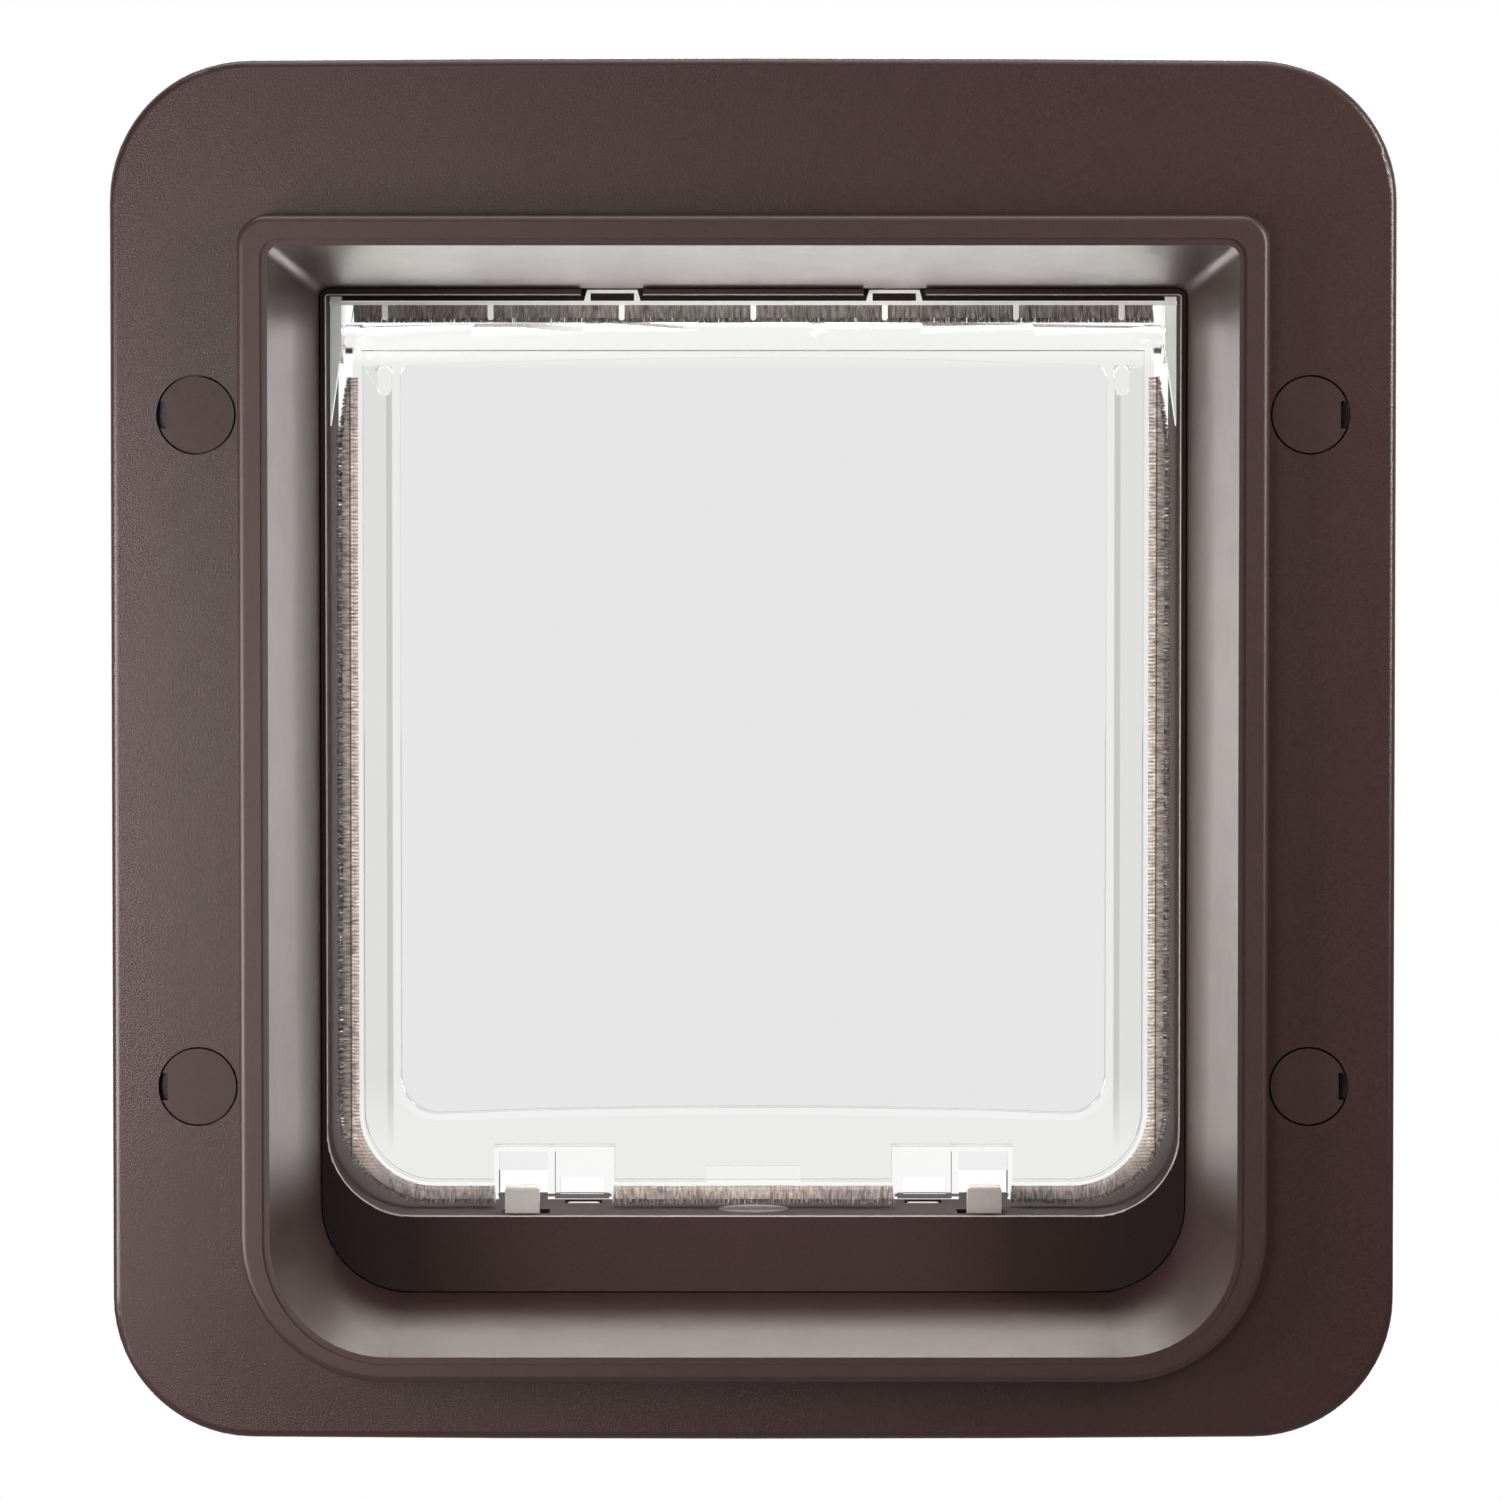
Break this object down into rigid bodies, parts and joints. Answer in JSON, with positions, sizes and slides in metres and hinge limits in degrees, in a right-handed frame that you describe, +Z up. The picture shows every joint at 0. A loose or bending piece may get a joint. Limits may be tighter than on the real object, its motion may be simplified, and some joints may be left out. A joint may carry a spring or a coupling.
{
  "type": "cat flap",
  "caption": "Cat flap for a door: flared tunnel frame, clear swinging flap edged with brush seals, lock catches in the sill and a battery housing on the room side.",
  "frame": {"origin": "on the outside face of the door, on the passage's centre line, level with the middle of the fixing screws", "axes": "+X to the right seen from outside, +Y through the door into the room, +Z up"},
  "size_m": [0.264, 0.0878, 0.2846],
  "materials": {
    "brown_frame": "satin",
    "brown_cap": "satin",
    "brown_housing": "satin",
    "clear_plastic": "clear",
    "pile": "short pile",
    "grey_catch": "satin",
    "white_drive": "satin",
    "motor_case": "satin",
    "plated_steel": "zinc plated",
    "sensor_lens": "clear",
    "coil_winding": "enamelled wire",
    "cell_jacket": "satin",
    "board": "solder mask",
    "grey_button": "satin",
    "status_lens": "clear"
  },
  "bodies": {
    "door_unit": {"outer_frame": "brown_frame", "screw_cap_upper_left": "brown_cap", "screw_cap_upper_right": "brown_cap", "screw_cap_lower_left": "brown_cap", "screw_cap_lower_right": "brown_cap", "fixing_screws": "plated_steel", "inner_housing": "brown_housing", "inner_cover": "brown_housing", "case_screws": "plated_steel", "hinge_carrier": "clear_plastic", "top_brush": "pile", "outer_motor": "motor_case", "inner_motor": "motor_case", "sensor_window": "sensor_lens", "reader_coil": "coil_winding", "battery_cells": "cell_jacket", "battery_contacts": "plated_steel", "circuit_board": "board", "status_lens": "status_lens"},
    "flap": {"flap": "clear_plastic", "left_brush": "pile", "bottom_brush": "pile", "right_brush": "pile"},
    "outer_lock": {"outer_yoke": "white_drive", "outer_catch_left": "grey_catch", "outer_catch_right": "grey_catch"},
    "inner_lock": {"inner_yoke": "white_drive", "inner_catch_left": "grey_catch", "inner_catch_right": "grey_catch"},
    "outer_pinion": {"outer_pinion": "white_drive"},
    "inner_pinion": {"inner_pinion": "white_drive"},
    "battery_door_left": {"battery_door_left": "brown_housing"},
    "battery_door_right": {"battery_door_right": "brown_housing"},
    "learn_button": {"learn_button": "grey_button"}
  },
  "joints": [
    {"name": "flap_swing", "type": "hinge", "parent": "door_unit", "child": "flap", "pos_m": [0, 0.047, 0.085], "axis": [1, 0, 0], "range_deg": [-80, 80]},
    {"name": "outer_lock_lift", "type": "slide", "parent": "door_unit", "child": "outer_lock", "axis": [0, 0, 1], "range_m": [0, 0.0055]},
    {"name": "inner_lock_lift", "type": "slide", "parent": "door_unit", "child": "inner_lock", "axis": [0, 0, 1], "range_m": [0, 0.01]},
    {"name": "outer_pinion_turn", "type": "hinge", "parent": "door_unit", "child": "outer_pinion", "pos_m": [0, 0.05385, -0.1231], "axis": [-1, 0, 0], "range_deg": [0, 52.53]},
    {"name": "inner_pinion_turn", "type": "hinge", "parent": "door_unit", "child": "inner_pinion", "pos_m": [-0.0095, 0.06245, -0.1231], "axis": [-1, 0, 0], "range_deg": [0, 95.5]},
    {"name": "battery_door_left_lift", "type": "slide", "parent": "door_unit", "child": "battery_door_left", "axis": [0, 1, 0], "range_m": [0, 0.03]},
    {"name": "battery_door_right_lift", "type": "slide", "parent": "door_unit", "child": "battery_door_right", "axis": [0, 1, 0], "range_m": [0, 0.03]},
    {"name": "learn_button_press", "type": "slide", "parent": "door_unit", "child": "learn_button", "axis": [0, -1, 0], "range_m": [0, 0.0012], "stiffness_N_per_m": 800}
  ],
  "couplings": [
    {"joint": "outer_pinion_turn", "follows": "outer_lock_lift", "rad_per_m": 166.67},
    {"joint": "inner_pinion_turn", "follows": "inner_lock_lift", "rad_per_m": 166.67}
  ]
}
